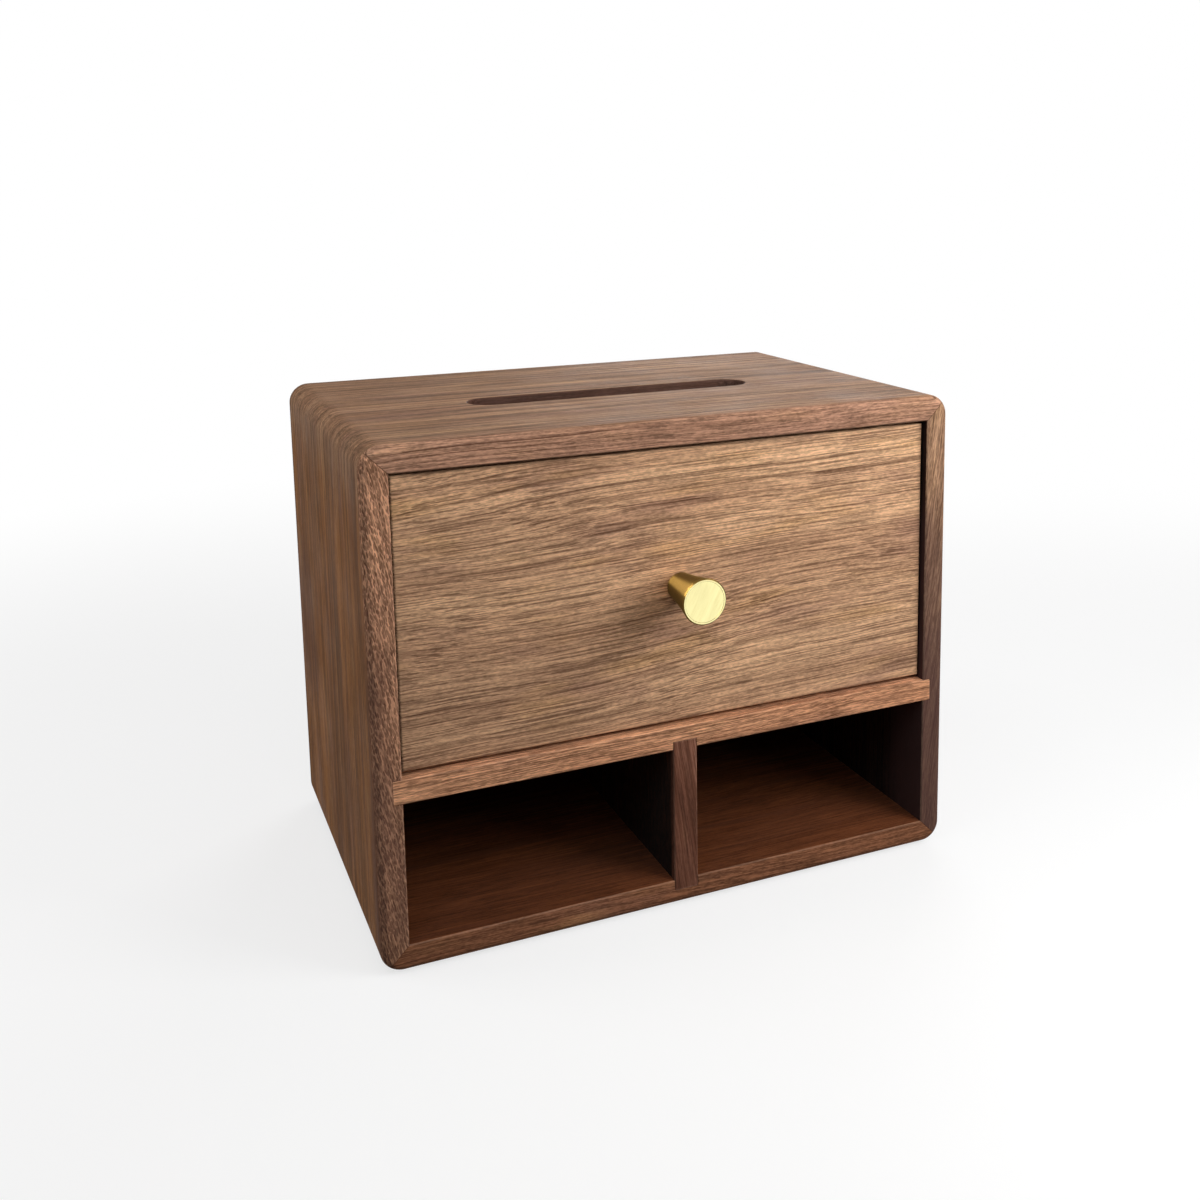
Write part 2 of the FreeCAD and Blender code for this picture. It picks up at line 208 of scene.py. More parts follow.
# ------------------------------------------------------------------- sizes and colours to change
class TissueBoxWoods(bpy.types.PropertyGroup):
    """Walnut colours of the boards."""
    top_pale: colour("Top, pale", "Lighter wood of the top", srgb(163, 125, 94))
    top_deep: colour("Top, deep", "Darker bands of the top", srgb(115, 82, 60))
    side_pale: colour("Sides, pale", "Lighter wood of the sides", srgb(142, 94, 51))
    side_deep: colour("Sides, deep", "Darker bands of the sides", srgb(93, 57, 28))
    rail_pale: colour("Top's edge, pale", "Lighter wood of the top's front edge", srgb(180, 137, 111))
    rail_deep: colour("Top's edge, deep", "Darker wood of the top's front edge", srgb(120, 80, 63))
    stile_pale: colour("Sides' edge, pale", "Lighter wood of the sides' front edges", srgb(211, 158, 124))
    stile_deep: colour("Sides' edge, deep", "Darker wood of the sides' front edges", srgb(158, 111, 84))
    post_pale: colour("Right edge, pale", "Lighter wood of the right side's front edge", srgb(188, 149, 118))
    post_deep: colour("Right edge, deep", "Darker wood of the right side's front edge", srgb(130, 97, 74))
    base_pale: colour("Bottom, pale", "Lighter wood of the bottom board", srgb(137, 91, 65))
    base_deep: colour("Bottom, deep", "Darker bands of the bottom board", srgb(90, 55, 39))
    shelf_pale: colour("Shelf, pale", "Lighter wood of the shelf", srgb(236, 177, 135))
    shelf_deep: colour("Shelf, deep", "Darker bands of the shelf", srgb(173, 119, 87))
    divider_pale: colour("Divider, pale", "Lighter wood of the divider", srgb(166, 114, 92))
    divider_deep: colour("Divider, deep", "Darker bands of the divider", srgb(98, 62, 48))
    front_pale: colour("Drawer front, pale", "Lighter wood of the drawer front", srgb(219, 175, 136))
    front_deep: colour("Drawer front, deep", "Darker bands of the drawer front", srgb(175, 131, 101))
    # Painted shade: the cubbies' floor is painted darker and redder than the bottom board's front edge,
    # standing in for the shade inside.
    floor_pale: colour("Cubby floor, pale", "Lighter wood of the cubbies' floor", srgb(106, 60, 35))
    floor_deep: colour("Cubby floor, deep", "Darker wood of the cubbies' floor", srgb(78, 42, 23))
    # Painted shade: the other faces inside the box are painted nearly black, standing in for the shade
    # there.
    bay_pale: colour("Inside, pale", "Lighter wood of the other faces inside", srgb(24, 16, 13))
    bay_deep: colour("Inside, deep", "Darker wood of the other faces inside", srgb(15, 10, 8))
    # Painted shade: the slot's wall and the top's face inside the box are painted dark, standing in for the
    # shade there.
    slot_pale: colour("Slot, pale", "Lighter wood of the slot's wall", srgb(92, 66, 56))
    slot_deep: colour("Slot, deep", "Darker wood of the slot's wall", srgb(62, 44, 37))
    drawer_pale: colour("Drawer box, pale", "Lighter wood of the drawer's sides", srgb(154, 113, 83))
    drawer_deep: colour("Drawer box, deep", "Darker wood of the drawer's sides", srgb(112, 79, 57))
    line: colour("Grain lines", "Dark grain lines and pores", srgb(78, 46, 32))
    mauve: colour("Mauve patches", "Greyish patches in the heartwood", srgb(146, 108, 94))
    gold: colour("Golden patches", "Golden patches in the heartwood", srgb(208, 162, 110))
    # This colour darkens the heartwood zones and paints the shade on the drawer front.
    heart_and_shade: colour("Heartwood", "Dark purple-brown zones", srgb(76, 52, 50))
    # Painted highlight: this pale tone is painted along the boards' eased edges, where light catches their
    # rounding.
    edge_highlight: colour("Worn edges", "Edges that sanding has paled", srgb(206, 180, 156))


class TissueBoxKnob(bpy.types.PropertyGroup):
    """Sizes and colours of the turned brass knob."""
    base_radius: length("Base radius", "Radius where the knob meets the drawer", 5.9)
    base_round: length("Base rounding", "Rounding of the edge against the drawer", 0.25)
    bore_radius: length("Bore radius", "Radius of the blind hole that takes the screw", 2.05)
    bore_depth: length("Bore depth", "Depth of the blind hole that takes the screw", 10.5)
    waist: length("Waist", "How far the stem's outline bows inward", 0.35)
    rim_chamfer: length("Rim chamfer", "Chamfer between stem and face", 0.5)
    rim_land: length("Rim land", "Width of the flat rim round the face", 0.6)
    rim_step: length("Rim step", "Depth of the face below its rim", 0.10)
    face_colour: colour("Face", "Brushed brass of the face", srgb(238, 229, 170))
    # Painted shade: the stem's brass is painted far darker than the face's, standing in for the shaded wood
    # that it mirrors.
    stem_shaded_colour: colour("Stem", "Satin brass of the stem", srgb(104, 80, 38))
    stem_shaded_marks: colour("Stem, marks", "Brass in the stem's tool marks", srgb(90, 68, 32))
    face_marks: colour("Face, marks", "Brass in the face's tool marks", srgb(222, 209, 146))
    steps: IntProperty(name="Steps", description="Steps round the knob", min=24, default=128)


class TissueBoxFittings(bpy.types.PropertyGroup):
    """Sizes and colours of the knob's screw and washer and of the foot pads."""
    screw_radius: length("Screw radius", "Outer radius of the screw's thread", 2.0)
    thread_depth: length("Thread depth", "Depth of the thread, which the plain shank leaves out", 0.43)
    tip_ease: length("Tip easing", "Chamfer at the end of the screw's shank", 0.471)
    head_radius: length("Head radius", "Radius of the screw's pan head", 4.0)
    head_height: length("Head height", "Height of the screw's pan head", 2.6)
    crown_radius: length("Crown radius", "Radius of the domed top of the screw's head", 4.94)
    head_ease: length("Head easing", "Chamfer under the rim of the screw's head", 0.2)
    head_slope: length("Head slope", "Drop from the head's crown to its rim", 0.3)
    recess_reach: length("Recess reach", "From the middle to the end of the cross", 2.1)
    recess_width: length("Recess width", "Width of the cross's arms", 0.9)
    recess_depth: length("Recess depth", "Depth of the cross", 1.5)
    washer_bore: length("Washer bore", "Radius of the hole in the washer", 2.25)
    washer_ease: length("Washer easing", "Rounding of the washer's edges", 0.15)
    pad_round: length("Pad rounding", "Rounding of the lower edge of a foot pad", 0.6)
    dimple_depth: length("Dimple depth", "Depth of the dimple under a foot pad", 0.2)
    dimple_slope: length("Dimple slope", "Width of the dimple's slope", 0.3)
    dimple_share: share("Dimple share", "Dimple's radius as a share of the foot pad's", 0.45)
    steel: colour("Steel", "Zinc-plated steel", srgb(196, 198, 202))
    rubber: colour("Rubber", "Foot pads", srgb(38, 35, 33))


class TissueBoxStudio(bpy.types.PropertyGroup):
    """Camera and light."""
    azimuth: FloatProperty(name="Azimuth", description="Camera's turn about the box", unit="ROTATION",
                           default=math.radians(-24.198))
    elevation: FloatProperty(name="Elevation", description="Camera's angle above the horizon",
                             unit="ROTATION", default=math.radians(8.958))
    roll: FloatProperty(name="Roll", description="Camera's roll", unit="ROTATION",
                        default=math.radians(-0.604))
    distance: length("Distance", "From the camera to the point that it is aimed at", 639.54)
    aim: FloatVectorProperty(name="Aim", description="Point on the camera's axis", subtype="TRANSLATION",
                             unit="LENGTH", default=(0.04114, 0.01233, 0.20906))
    lens: FloatProperty(name="Lens", unit="CAMERA", description="Focal length in millimetres",
                        default=40.258)
    shift: FloatVectorProperty(name="Shift", description="Rise and shift of the lens", size=2,
                               default=(-0.07, -0.17667))
    key_power: FloatProperty(name="Key light", description="Power of the soft light at the front right",
                             unit="POWER", default=2.4)
    fill_power: FloatProperty(name="Fill light", description="Power of the broad light at the front",
                              unit="POWER", default=1.9)
    top_power: FloatProperty(name="Top light", description="Power of the soft light above",
                             unit="POWER", default=1.5)
    side_power: FloatProperty(name="Side light", description="Power of the soft light at the left",
                              unit="POWER", default=2.3)
    strip_power: FloatProperty(name="Strip light", unit="POWER", default=12.0,
                               description="Power of the strip whose gloss shows on the knob")
    rear_power: FloatProperty(name="Rear light", description="Power of the soft light behind",
                              unit="POWER", default=6.0)
    sky: share("Sky", "Strength of the even light from all round", 0.10)
    floor: colour("Floor", "Pale floor", srgb(98, 96, 94))


GROUPS = (TissueBoxWoods, TissueBoxKnob, TissueBoxFittings, TissueBoxStudio)


# ---------------------------------------------------------------------------- building node trees
def fill(tree, node, inputs):
    """Sets a node's inputs, by socket name or number, to values or to other nodes' outputs."""
    for key, value in inputs.items():
        socket = node.inputs[key]
        if isinstance(value, bpy.types.NodeSocket):
            tree.links.new(value, socket)
        elif socket.type == "RGBA":
            socket.default_value = (*value[:3], 1)
        else:
            socket.default_value = value


def add(tree, kind, inputs=None, **settings):
    """Adds a node with its settings and inputs."""
    node = tree.nodes.new(kind)
    for setting, value in settings.items():
        setattr(node, setting, value)
    fill(tree, node, inputs or {})
    return node


def use(tree, group, inputs):
    """Adds a node group and gives its outputs."""
    return add(tree, "ShaderNodeGroup", inputs, node_tree=group).outputs


def maths(tree, operation, *values, clamp=False):
    inputs = dict(enumerate(values))
    return add(tree, "ShaderNodeMath", inputs, operation=operation, use_clamp=clamp).outputs[0]


def times(tree, first, second):
    return maths(tree, "MULTIPLY", first, second)


def vector_maths(tree, operation, *values):
    inputs = dict(enumerate(values))
    return add(tree, "ShaderNodeVectorMath", inputs, operation=operation).outputs[0]


def magnitude(tree, vector):
    return add(tree, "ShaderNodeVectorMath", {0: vector}, operation="LENGTH").outputs["Value"]


def split(tree, vector):
    """The three parts of a vector."""
    return add(tree, "ShaderNodeSeparateXYZ", {0: vector}).outputs


def joined(tree, x=0.0, y=0.0, z=0.0):
    """A vector from its three parts."""
    return add(tree, "ShaderNodeCombineXYZ", {0: x, 1: y, 2: z}).outputs[0]


def between(tree, value, low, high, to_low=0.0, to_high=1.0):
    """A smooth step from to_low at low to to_high at high."""
    inputs = {"Value": value, "From Min": low, "From Max": high, "To Min": to_low, "To Max": to_high}
    return add(tree, "ShaderNodeMapRange", inputs, interpolation_type="SMOOTHSTEP").outputs[0]


def fading(tree, value, low, high):
    """A smooth step from 1 at low to 0 at high."""
    return between(tree, value, low, high, 1.0, 0.0)


def mixed(tree, amount, first, second, blend="MIX"):
    """The second colour over the first."""
    settings = dict(data_type="RGBA", blend_type=blend, clamp_factor=True)
    return add(tree, "ShaderNodeMix", {0: amount, 6: first, 7: second}, **settings).outputs[2]


def noise(tree, vector, per_metre, detail=2.0, roughness=0.5, shift=(0, 0, 0)):
    """Noise with so many features per metre along each axis."""
    moved = vector_maths(tree, "MULTIPLY_ADD", vector, per_metre, shift)
    inputs = {"Vector": moved, "Scale": 1.0, "Detail": detail, "Roughness": roughness}
    return add(tree, "ShaderNodeTexNoise", inputs).outputs["Fac"]


def placed(tree, vector, **placing):
    """A vector that is scaled, turned and moved by a Mapping node."""
    inputs = {"Vector": vector, **{key.capitalize(): value for key, value in placing.items()}}
    return add(tree, "ShaderNodeMapping", inputs, vector_type="POINT").outputs[0]


def bumps(tree, height, relief, strength=1.0):
    """Normals of a surface whose height varies by relief, in metres."""
    inputs = {"Height": height, "Strength": strength, "Distance": relief}
    return add(tree, "ShaderNodeBump", inputs).outputs[0]


def node_group(name, inputs, outputs, build):
    """A shader node group, built once. Inputs are name: (kind, default) and outputs name: kind."""
    group = bpy.data.node_groups.get(name)
    if group:
        return group
    group = bpy.data.node_groups.new(name, "ShaderNodeTree")
    for label, (kind, default) in inputs.items():
        socket = group.interface.new_socket(name=label, in_out="INPUT", socket_type="NodeSocket" + kind)
        if default is not None:
            socket.default_value = (*default, 1) if kind == "Color" else default
    for label, kind in outputs.items():
        group.interface.new_socket(name=label, in_out="OUTPUT", socket_type="NodeSocket" + kind)
    source = group.nodes.new("NodeGroupInput").outputs
    sink = group.nodes.new("NodeGroupOutput").inputs
    for label, socket in build(group, source).items():
        group.links.new(socket, sink[label])
    return group


def vectors(*names):
    """Vector inputs of a node group."""
    return {name: ("Vector", None) for name in names}


# -------------------------------------------------------------------------- shared surface effects
def pore_dashes():
    """Short dark dashes along X, where the vessels of the wood are cut open."""
    core_share = 0.72
    shallowest, spread = 0.4, 0.7

    def build(tree, source):
        across = maths(tree, "DIVIDE", 1.0, source["Width"])
        along = maths(tree, "DIVIDE", 1.0, source["Length"])
        moved = vector_maths(tree, "MULTIPLY", source["Grain"], joined(tree, along, across, across))
        vessels = add(tree, "ShaderNodeTexVoronoi", {"Vector": moved, "Scale": 1.0}).outputs
        core = times(tree, source["Cover"], core_share)
        dash = fading(tree, vessels["Distance"], core, source["Cover"])
        depth = maths(tree, "MULTIPLY_ADD", vessels["Color"], spread, shallowest, clamp=True)
        return {"Mask": times(tree, dash, depth)}
    sizes = {"Length": ("Float", 0.006), "Width": ("Float", 0.0005), "Cover": ("Float", 0.4)}
    return node_group("Pore Dashes", {**vectors("Grain"), **sizes}, {"Mask": "Float"}, build)


def walnut_grain():
    """Walnut whose grain runs along X: bands, patches, growth lines, streaks, veins, flecks and pores."""
    def build(tree, source):
        def sideways(part, width):
            wave = noise(tree, source["Grain"], **GRAIN[part])
            return maths(tree, "MULTIPLY_ADD", wave, width, -width / 2)

        sway, ripple = sideways("sway", SWAY_WIDTH), sideways("ripple", RIPPLE_WIDTH)
        drift = maths(tree, "MULTIPLY_ADD", ripple, source["Ripple"], sway)
        wood = vector_maths(tree, "ADD", source["Grain"], joined(tree, 0.0, drift, drift))

        def grain(part):
            return noise(tree, wood, **GRAIN[part])

        bands = times(tree, between(tree, grain("bands"), *SPANS["bands"]), source["Bands"])
        tone = mixed(tree, bands, source["Pale"], source["Deep"])
        for part in ("mauve", "gold"):
            patch = times(tree, between(tree, grain(part), *SPANS[part]), source["Patches"])
            tone = mixed(tree, patch, tone, source[part.capitalize()])

        across = split(tree, wood)
        across = maths(tree, "ADD", across[1], across[2])
        ring = maths(tree, "FRACT", maths(tree, "DIVIDE", across, source["Growth"]))
        late = times(tree, between(tree, ring, *LATE_WOOD_START), fading(tree, ring, *LATE_WOOD_END))
        unbroken = between(tree, grain("breaks"), *SPANS["breaks"])
        pores = use(tree, pore_dashes(), {"Grain": wood, **FACE_PORES})["Mask"]
        parts = {"late_wood": times(tree, times(tree, late, unbroken), source["Lines"]),
                 "pores": times(tree, pores, source["Pores"])}
        for part in ("streaks", "stripes", "fibre", "grit"):
            swing = between(tree, grain(part), *SPANS[part], -1.0, 1.0)
            parts[part] = times(tree, swing, source[part.capitalize()])
        for part in ("veins", "flecks"):
            value, strength = grain(part), source[part.capitalize()]
            for shade, step in (("dark_", fading), ("pale_", between)):
                parts[shade + part] = times(tree, step(tree, value, *SPANS[shade + part]), strength)

        light = 1.0
        for part, amount in LIGHTENING.items():
            light = maths(tree, "MULTIPLY_ADD", parts[part], amount, light)
        tone = mixed(tree, 1.0, tone, joined(tree, light, light, light), "MULTIPLY")
        for part, amount in DARKENING.items():
            tone = mixed(tree, times(tree, parts[part], amount), tone, source["Line"])

        cut = maths(tree, "MAXIMUM", times(tree, parts["dark_flecks"], FLECK_DEPTH), parts["pores"])
        height = maths(tree, "SUBTRACT", times(tree, parts["streaks"], STREAK_HEIGHT), cut)
        return {"Color": tone, "Cut": cut, "Height": height}
    tones = {"Pale": (0.5, 0.4, 0.3), "Deep": (0.3, 0.2, 0.1), "Line": (0.1, 0.05, 0.03),
             "Mauve": (0.3, 0.2, 0.2), "Gold": (0.5, 0.3, 0.1)}
    figure = {"Bands": 0.8, "Patches": 0.5, "Growth": 0.009, "Lines": 0.7, "Stripes": 0.0, "Veins": 0.7,
              "Streaks": 0.6, "Flecks": 0.5, "Fibre": 0.5, "Grit": 0.8, "Pores": 0.5, "Ripple": 1.0}
    inputs = vectors("Grain")
    inputs.update({name: ("Color", tone) for name, tone in tones.items()})
    inputs.update({name: ("Float", strength) for name, strength in figure.items()})
    outputs = {"Color": "Color", "Cut": "Float", "Height": "Float"}
    return node_group("Walnut Grain", inputs, outputs, build)


def soft_patch():
    """A soft-edged patch round a centre, broken up by noise, for dark zones: heartwood, and painted shade on
    the drawer front.
    """
    per_metre, raggedness = (60, 60, 30), 0.6
    full_within, gone_beyond = 0.45, 1.05

    def build(tree, source):
        away = vector_maths(tree, "SUBTRACT", source["Position"], source["Centre"])
        reach = magnitude(tree, vector_maths(tree, "DIVIDE", away, source["Reach"]))
        ragged = noise(tree, source["Position"], per_metre, 3.0)
        reach = maths(tree, "SUBTRACT", reach, raggedness / 2)
        reach = maths(tree, "MULTIPLY_ADD", ragged, raggedness, reach)
        return {"Mask": fading(tree, reach, full_within, gone_beyond)}
    inputs = {**vectors("Position", "Centre"), "Reach": ("Vector", (1, 1, 1))}
    return node_group("Soft Patch", inputs, {"Mask": "Float"}, build)


def inset(tree, source):
    """How far a point lies in from the nearer face of a box, along each axis."""
    away = vector_maths(tree, "SUBTRACT", source["Position"], source["Centre"])
    away = vector_maths(tree, "ABSOLUTE", away)
    return split(tree, vector_maths(tree, "SUBTRACT", source["Half Size"], away))


def eased_edge():
    """A mask along the eased edges of a box-shaped board, where a painted highlight pales them."""
    per_metre, full_within = (90, 90, 90), 0.35

    def build(tree, source):
        x, y, z = inset(tree, source)
        low = maths(tree, "MINIMUM", x, y)
        high = maths(tree, "MAXIMUM", x, y)
        second = maths(tree, "MAXIMUM", low, maths(tree, "MINIMUM", high, z))
        edge_highlight = noise(tree, source["Position"], per_metre)
        reach = times(tree, source["Reach"], maths(tree, "ADD", edge_highlight, 0.5))
        return {"Mask": fading(tree, maths(tree, "DIVIDE", second, reach), full_within, 1.0)}
    inputs = {**vectors("Position", "Centre", "Half Size"), "Reach": ("Float", 0.0008)}
    return node_group("Eased Edge", inputs, {"Mask": "Float"}, build)


def mitre_line():
    """A mask on the glue line of a frame's mitred corners, seen along Y."""
    def build(tree, source):
        x, y, z = inset(tree, source)
        gap = maths(tree, "ABSOLUTE", maths(tree, "SUBTRACT", x, z))
        return {"Mask": fading(tree, gap, *GLUE_LINE)}
    return node_group("Mitre Line", vectors("Position", "Centre", "Half Size"), {"Mask": "Float"}, build)


def slot_wall():
    """A mask on the wall of a slot with round ends, from the box of its straight stretch."""
    halved = (0.5, 0.5, 0)

    def build(tree, source):
        centre = vector_maths(tree, "ADD", source["Low"], source["High"])
        centre = vector_maths(tree, "MULTIPLY", centre, halved)
        half = vector_maths(tree, "SUBTRACT", source["High"], source["Low"])
        half = split(tree, vector_maths(tree, "MULTIPLY", half, halved))
        away = vector_maths(tree, "ABSOLUTE", vector_maths(tree, "SUBTRACT", source["Position"], centre))
        away = split(tree, away)
        past_end = maths(tree, "MAXIMUM", maths(tree, "SUBTRACT", away[0], half[0]), 0.0)
        beyond = maths(tree, "SUBTRACT", magnitude(tree, joined(tree, past_end, away[1])), half[1])
        return {"Mask": fading(tree, beyond, *SLOT_WALL)}
    return node_group("Slot Wall", vectors("Position", "Low", "High"), {"Mask": "Float"}, build)


def handling_marks():
    """Soft smudges and fine dust that vary the sheen."""
    smudges_per_metre, specks_per_metre = (38, 38, 38), (900, 900, 900)
    smudge_share, span = 0.8, (0.3, 0.7)

    def build(tree, source):
        smudge = noise(tree, source["Position"], smudges_per_metre, 3.0)
        speck = noise(tree, source["Position"], specks_per_metre, shift=(3, 8, 1))
        specks = times(tree, speck, 1 - smudge_share)
        return {"Marks": between(tree, maths(tree, "MULTIPLY_ADD", smudge, smudge_share, specks), *span)}
    return node_group("Handling Marks", vectors("Position"), {"Marks": "Float"}, build)


def smudges(tree, position):
    return use(tree, handling_marks(), {"Position": position})["Marks"]


def brushed_metal():
    """Fine brush strokes along X."""
    fine_per_metre, broad_per_metre = (260, 5200, 5200), (90, 900, 900)
    broad_share, span = 0.5, (0.32, 0.68)

    def build(tree, source):
        fine = noise(tree, source["Position"], fine_per_metre)
        broad = noise(tree, source["Position"], broad_per_metre, shift=(5, 2, 3))
        fine = times(tree, fine, 1 - broad_share)
        return {"Strokes": between(tree, maths(tree, "MULTIPLY_ADD", broad, broad_share, fine), *span)}
    return node_group("Brushed Metal", vectors("Position"), {"Strokes": "Float"}, build)


# --------------------------------------------------------------------------------------- materials
def new_material(name):
    """An empty node material, its tree, its shader and its Object coordinates."""
    material = bpy.data.materials.get(name) or bpy.data.materials.new(name)
    material.use_nodes = True
    tree = material.node_tree
    tree.nodes.clear()
    shader = tree.nodes.new("ShaderNodeBsdfPrincipled")
    output = tree.nodes.new("ShaderNodeOutputMaterial")
    tree.links.new(shader.outputs[0], output.inputs["Surface"])
    position = tree.nodes.new("ShaderNodeTexCoord").outputs["Object"]
    return material, tree, shader, position


def turned_grain(tree, position, scale=(1, 1, 1), turn=0.0, start=(0, 0, 0), tilt=0.0):
    """Object coordinates with X along the board: mirrored by scale, turned about Y by turn, tilted
    about Z by tilt, both in degrees, and moved to start."""
    rotation = (0, math.radians(turn), math.radians(tilt))
    return placed(tree, position, scale=scale, rotation=rotation, location=start)


def crown_mask(tree, position, vector):
    """1 at the top of the case, where the sides take on the top's tones, along an uneven line."""
    uneven = noise(tree, vector, CROWN_PER_METRE, shift=(5, 1, 4))
    rise = maths(tree, "SUBTRACT", split(tree, position)[2], CROWN_RAGGEDNESS / 2)
    rise = maths(tree, "MULTIPLY_ADD", uneven, CROWN_RAGGEDNESS, rise)
    start, end = CROWN_DEPTHS
    return between(tree, rise, CASE_HIGH.z - start, CASE_HIGH.z - end)


def edge_mask(tree, vector, behind, depth):
    """1 on a board's front edge and its rounding, along a ragged line."""
    ragged = noise(tree, vector, EDGE_PER_METRE, shift=(2, 6, 3))
    behind = maths(tree, "MULTIPLY_ADD", ragged, EDGE_RAGGEDNESS, behind)
    return fading(tree, behind, depth - EDGE_BLUR, depth + EDGE_BLUR)


def inside_mask(tree, position, vector, behind):
    """1 on a mitred board's face inside the case and on the wall of the tissue slot."""
    start, end = INNER_FACE
    inside = between(tree, split(tree, vector)[2], BOARD_THICKNESS - start, BOARD_THICKNESS - end)
    inside = times(tree, inside, between(tree, behind, *INNER_START))
    wall = use(tree, slot_wall(), {"Position": position, "Low": SLOT_LOW, "High": SLOT_HIGH})["Mask"]
    return maths(tree, "MAXIMUM", inside, wall)


def grown(tree, tones, figure, lay, crown=None, near_top=None):
    """Walnut of the named tones and figure. Where near_top is 1 it has the crown's tones."""
    woods = bpy.context.scene.tissue_box_woods
    inputs = {"Grain": lay, "Line": woods.line, "Mauve": woods.mauve, "Gold": woods.gold,
              **FIGURES[figure]}
    for shade in ("pale", "deep"):
        tone = getattr(woods, tones + "_" + shade)
        if crown:
            tone = mixed(tree, near_top, tone, getattr(woods, crown + "_" + shade))
        inputs[shade.capitalize()] = tone
    return use(tree, walnut_grain(), inputs)


def with_dark_patches(tree, tone, position, dark_patches):
    """A tone that is darkened in the board's dark zones: heartwood, and painted shade on the drawer front.
    """
    heart_and_shade = bpy.context.scene.tissue_box_woods.heart_and_shade
    for centre, reach, strength in dark_patches:
        patch = use(tree, soft_patch(), {"Position": position, "Centre": centre, "Reach": reach})["Mask"]
        tone = mixed(tree, times(tree, patch, strength), tone, heart_and_shade)
    return tone


def wood_sheen(tree, position, cut, eased):
    """The walnut's roughness, with its smudges, open pores and worn edges."""
    sheen = WOOD_ROUGHNESS
    marks = smudges(tree, position)
    for part, adds in ((marks, SMUDGE_ROUGHNESS), (cut, PORE_ROUGHNESS), (eased, WORN_ROUGHNESS)):
        sheen = maths(tree, "MULTIPLY_ADD", part, adds, sheen)
    return sheen


def walnut(name, node, grain, wood, edge=None, edge_depth=EDGE_DEPTH, edge_slant=0.0, edge_pores=0.0,
           inner=None, crown=None, mitred=False, dark_patches=()):
    """Walnut for one board. grain is how its grain lies. wood, edge and inner each name the tones and the
    figure: of its outer faces, of its front edge and of its faces inside the box, whose dark tones are
    painted shade. edge_depth is how far back the front edge's wood goes, edge_slant turns its grain by so
    many degrees, and edge_pores is how strongly its pores show. crown names the tones that the board takes
    on at the top of the case, and mitred is true for the case's four boards. dark_patches are its dark
    zones, each with a centre, a reach and a strength: heartwood, or painted shade on the drawer front."""
    woods = bpy.context.scene.tissue_box_woods
    low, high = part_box(node)
    material, tree, shader, position = new_material(name)
    vector = turned_grain(tree, position, **grain)
    near_top = crown_mask(tree, position, vector) if crown else None
    behind = maths(tree, "SUBTRACT", split(tree, position)[1], low.y)
    base = grown(tree, *wood, vector, crown, near_top)
    tone, cut, height = base["Color"], base["Cut"], base["Height"]
    if edge:
        slanted = placed(tree, vector, rotation=(0, math.radians(edge_slant), 0))
        at_edge = edge_mask(tree, vector, behind, edge_depth)
        tone = mixed(tree, at_edge, tone, grown(tree, *edge, slanted)["Color"])
    # Painted shade: the faces inside the box and the slot's wall take the dark inner tones.
    if inner:
        if mitred:
            inside = inside_mask(tree, position, vector, behind)
        elif edge:
            inside = maths(tree, "SUBTRACT", 1.0, at_edge)
        else:
            inside = fading(tree, behind, *PANEL_FACE)
        tone = mixed(tree, inside, tone, grown(tree, *inner, vector)["Color"])
    if edge_pores:
        dashes = use(tree, pore_dashes(), {"Grain": slanted, **EDGE_PORES})["Mask"]
        dashes = times(tree, dashes, times(tree, at_edge, edge_pores))
        tone = mixed(tree, times(tree, dashes, EDGE_PORE_TINT), tone, woods.line)
        cut = maths(tree, "MAXIMUM", cut, dashes)
        height = maths(tree, "SUBTRACT", height, dashes)
    tone = with_dark_patches(tree, tone, position, dark_patches)
    box_inputs = {"Position": position, "Centre": (low + high) / 2, "Half Size": (high - low) / 2}
    eased_reach = MITRED_EASED_REACH if mitred else EASED_REACH
    eased = use(tree, eased_edge(), dict(box_inputs, Reach=eased_reach))["Mask"]
    # Painted highlight: the eased edges are paled as if light caught their rounding.
    tone = mixed(tree, times(tree, eased, EDGE_HIGHLIGHT_TINT), tone, woods.edge_highlight)
    if mitred:
        inputs = {"Position": position, "Centre": CASE_CENTRE, "Half Size": CASE_HALF}
        glue = times(tree, use(tree, mitre_line(), inputs)["Mask"], at_edge)
        tone = mixed(tree, times(tree, glue, GLUE_TINT), tone, woods.line)
        height = maths(tree, "SUBTRACT", height, glue)
    fill(tree, shader, {"Base Color": tone, "Roughness": wood_sheen(tree, position, cut, eased),
                        "Normal": bumps(tree, height, GRAIN_RELIEF, GRAIN_STRENGTH),
                        "Specular IOR Level": WOOD_GLOSS})
    return material


def brass(name, tone, shade, lay, roughness, relief, drawn=0.0):
    """Brass with fine tool marks. lay turns and stretches the coordinates to the marks' direction. drawn
    is how far lathe marks round the Y axis draw a gloss out along that axis."""
    quarter_turn = 0.25
    least_tint, tint_swing = 0.1, 0.6
    material, tree, shader, position = new_material(name)
    strokes = use(tree, brushed_metal(), {"Position": placed(tree, position, **lay)})["Strokes"]
    marks = smudges(tree, position)
    amount = maths(tree, "MULTIPLY_ADD", marks, tint_swing, least_tint)
    amount = times(tree, maths(tree, "SUBTRACT", 1.0, strokes), amount)
    base = mixed(tree, amount, tone, shade)
    stroke_swing, smudge_swing = 0.10, 0.06
    sheen = maths(tree, "MULTIPLY_ADD", strokes, stroke_swing, roughness - stroke_swing / 2)
    sheen = maths(tree, "MULTIPLY_ADD", marks, smudge_swing, sheen)
    fill(tree, shader, {"Base Color": base, "Metallic": 1.0, "Roughness": sheen,
                        "Normal": bumps(tree, strokes, relief)})
    if drawn:
        round_axis = add(tree, "ShaderNodeTangent", direction_type="RADIAL", axis="Y").outputs[0]
        fill(tree, shader, {"Anisotropic": drawn, "Anisotropic Rotation": quarter_turn,
                            "Tangent": round_axis})
    return material


